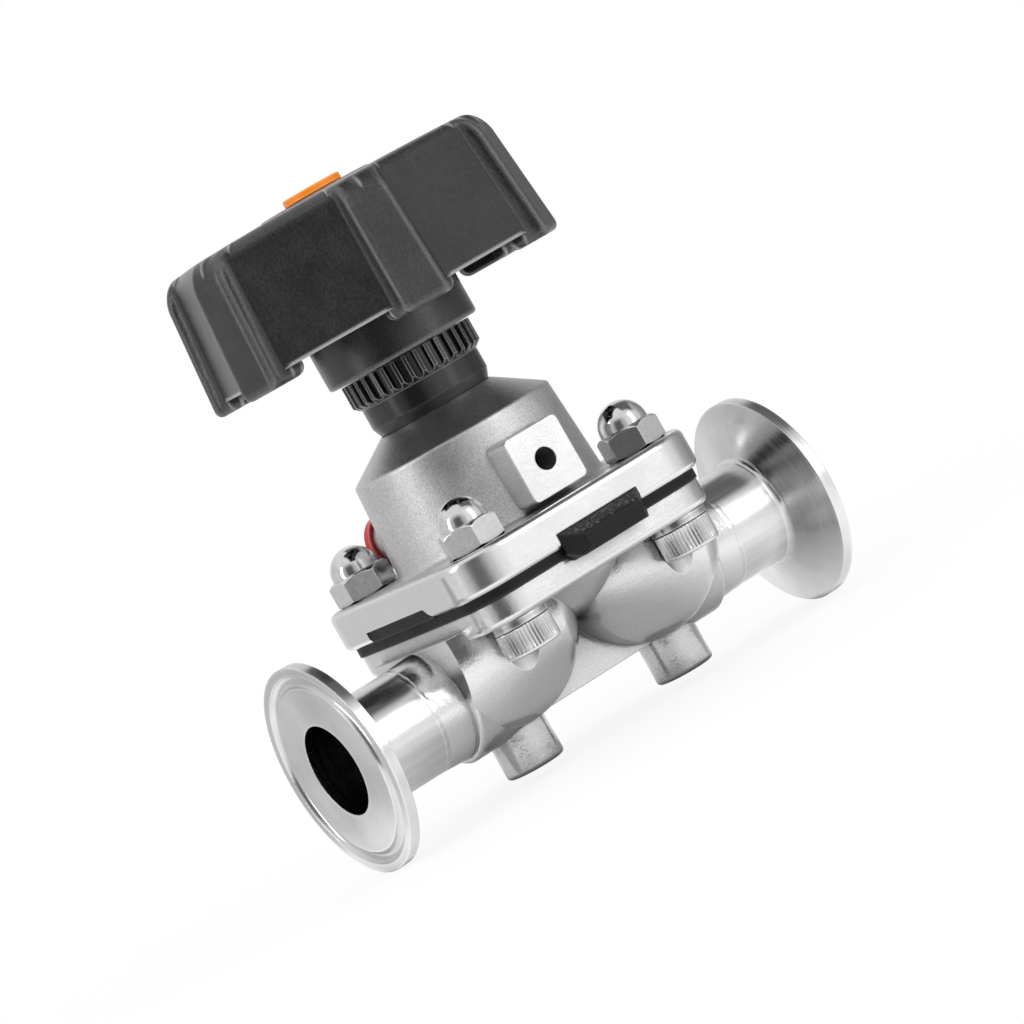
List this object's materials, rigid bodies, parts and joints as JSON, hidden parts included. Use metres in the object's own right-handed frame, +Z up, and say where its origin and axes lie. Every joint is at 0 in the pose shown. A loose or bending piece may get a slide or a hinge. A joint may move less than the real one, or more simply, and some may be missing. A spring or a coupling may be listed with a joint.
{
  "type": "sanitary diaphragm valve",
  "caption": "Weir-type sanitary diaphragm valve with clamp ferrules, acorn-nutted bonnet, lobed plastic handwheel and rising position indicator, shown closed.",
  "frame": {"origin": "where the pipe's centre line crosses the stem's centre line", "axes": "+X along the pipe towards the outlet ferrule, +Z up the stem to the handwheel, -Y the front with the square leak port"},
  "size_m": [0.13, 0.088, 0.1389],
  "materials": {
    "cast_steel": "satin polished stainless investment casting",
    "polished_steel": "machine-polished stainless tube",
    "blasted_steel": "bead-blasted stainless casting with machined edges",
    "bright_fastener": "bright stainless dome nut",
    "screw_steel": "knurled stainless screw head",
    "turned_steel": "plain turned stainless",
    "rubber_black": "moulded black diaphragm rubber",
    "handle_plastic": "satin charcoal moulded plastic with fine grain",
    "collar_plastic": "smooth black moulded plastic",
    "plug_red": "glossy red plastic plug",
    "label_plastic": "plain pale red disc",
    "indicator_orange": "satin orange plastic",
    "bronze": "plain bearing bronze"
  },
  "bodies": {
    "housing": {"valve_body": "cast_steel", "inlet_ferrule": "polished_steel", "outlet_ferrule": "polished_steel", "diaphragm": "rubber_black", "bonnet": "blasted_steel", "leak_port_plug": "plug_red", "cap_screws": "screw_steel", "screw_washers": "turned_steel", "acorn_nuts": "bright_fastener", "bonnet_sleeve": "collar_plastic", "splined_ring": "collar_plastic", "guide_bush": "bronze", "spindle_o_ring": "rubber_black", "thrust_washer_lower": "bronze", "thrust_washer_upper": "bronze"},
    "wheel": {"drive_nut": "bronze", "retaining_ring": "turned_steel", "handwheel": "handle_plastic", "label_disc": "label_plastic"},
    "stem": {"spindle": "turned_steel", "compressor": "turned_steel", "compressor_pin": "turned_steel", "diaphragm_stud": "turned_steel", "position_indicator": "indicator_orange"}
  },
  "joints": [
    {"name": "handwheel_turn", "type": "hinge", "parent": "housing", "child": "wheel", "pos_m": [0, 0, 0.09], "axis": [0, 0, 1], "range_deg": [0, 1080]},
    {"name": "spindle_lift", "type": "slide", "parent": "housing", "child": "stem", "axis": [0, 0, 1], "range_m": [0, 0.009], "deforming": ["diaphragm"]}
  ],
  "couplings": [
    {"joint": "spindle_lift", "follows": "handwheel_turn", "m_per_rad": 0.00047746}
  ]
}
